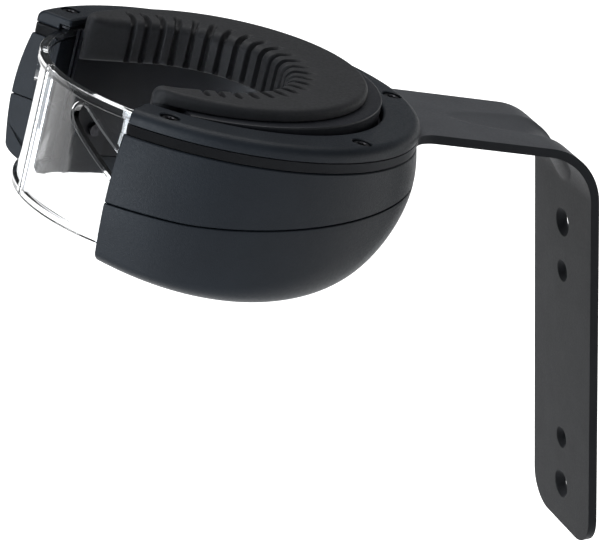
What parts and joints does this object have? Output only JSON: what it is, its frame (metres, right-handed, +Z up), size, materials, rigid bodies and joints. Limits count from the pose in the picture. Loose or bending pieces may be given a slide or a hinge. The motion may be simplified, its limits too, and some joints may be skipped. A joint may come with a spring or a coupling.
{
  "type": "instrument wall hanger",
  "caption": "Wall hanger for a stringed instrument: steel bracket, tilted horseshoe head, ribbed rubber cradle and curved clear gates that close as the cradle sinks.",
  "frame": {"origin": "middle of the screw hole pattern on the face of the wall plate that lies on the wall", "axes": "+Y into the wall, -Y toward the room and the open front of the head, +Z up, +X to the right seen along +Y"},
  "size_m": [0.1404, 0.2, 0.2091],
  "materials": {
    "powder_coated_steel": "fine-textured black powder coat",
    "black_plastic": "satin black moulded plastic with a fine spark-eroded grain",
    "inner_plastic": "smooth black moulded plastic",
    "black_rubber": "matt black moulded rubber",
    "clear_plastic": "clear polycarbonate with polished faces",
    "black_screws": "blackened steel",
    "bright_steel": "bright steel"
  },
  "bodies": {
    "head": {"wall_bracket": "powder_coated_steel", "top_cover": "black_plastic", "upper_housing": "black_plastic", "bottom_shell": "black_plastic", "guide_sleeve": "inner_plastic", "lower_glide_right": "inner_plastic", "lower_glide_left": "inner_plastic", "upper_glide_right": "inner_plastic", "upper_glide_left": "inner_plastic", "cover_screw_1": "black_screws", "cover_screw_2": "black_screws", "cover_screw_3": "black_screws", "cover_screw_4": "black_screws", "cover_screw_5": "black_screws", "return_spring_right": "bright_steel", "return_spring_left": "bright_steel", "down_stop_right": "black_rubber", "down_stop_left": "black_rubber"},
    "lifting_cradle": {"cradle": "inner_plastic", "cradle_pad": "black_rubber", "cam_pin_right": "bright_steel", "cam_pin_left": "bright_steel", "cam_roller_right": "inner_plastic", "cam_roller_left": "inner_plastic"},
    "right_gate": {"gate_right": "clear_plastic"},
    "left_gate": {"gate_left": "clear_plastic"}
  },
  "joints": [
    {"name": "cradle_lift", "type": "slide", "parent": "head", "child": "lifting_cradle", "axis": [0, 0.2724, 0.9622], "range_m": [0, 0.0277], "deforming": ["return_spring_right", "return_spring_left"]},
    {"name": "right_gate_swing", "type": "hinge", "parent": "head", "child": "right_gate", "pos_m": [0, -0.13005, 0.1228], "axis": [0, 0.2724, 0.9622], "range_deg": [0, 44]},
    {"name": "left_gate_swing", "type": "hinge", "parent": "head", "child": "left_gate", "pos_m": [0, -0.13005, 0.1228], "axis": [0, 0.2724, 0.9622], "range_deg": [-44, 0]}
  ],
  "couplings": [
    {"joint": "right_gate_swing", "follows": "cradle_lift", "rad_per_m": 27.72},
    {"joint": "left_gate_swing", "follows": "cradle_lift", "rad_per_m": -27.72}
  ]
}
